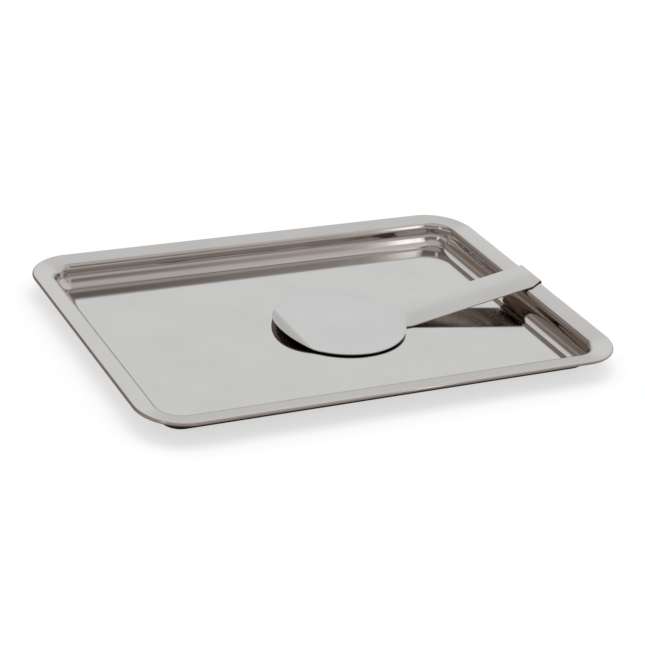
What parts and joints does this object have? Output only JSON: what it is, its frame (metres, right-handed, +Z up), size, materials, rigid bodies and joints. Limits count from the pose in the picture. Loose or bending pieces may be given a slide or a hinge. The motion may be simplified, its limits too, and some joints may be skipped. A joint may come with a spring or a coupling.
{
  "type": "bill tray with note clip",
  "caption": "Shallow rectangular bill tray in polished stainless steel, with a sprung strip hooked over one short rim that presses a round disc on the notes.",
  "frame": {"origin": "on the ground, under the middle of the whole object's box", "axes": "+X along the tray's length towards the rim that carries the clip, +Y across the tray, +Z up out of the tray"},
  "size_m": [0.2008, 0.145, 0.0109],
  "materials": {
    "pan_steel": "polished",
    "strip_steel": "polished",
    "disc_steel": "polished"
  },
  "bodies": {
    "tray": {"tray_pan": "pan_steel", "clip_hook": "strip_steel"},
    "clip": {"clip_arm": "strip_steel", "clip_disc": "disc_steel"}
  },
  "joints": [
    {"name": "clip_lift", "type": "hinge", "parent": "tray", "child": "clip", "pos_m": [0.09395, 0.002, 0.00988], "axis": [0, 1, 0], "range_deg": [0, 15], "stiffness_Nm_per_rad": 1.5}
  ]
}
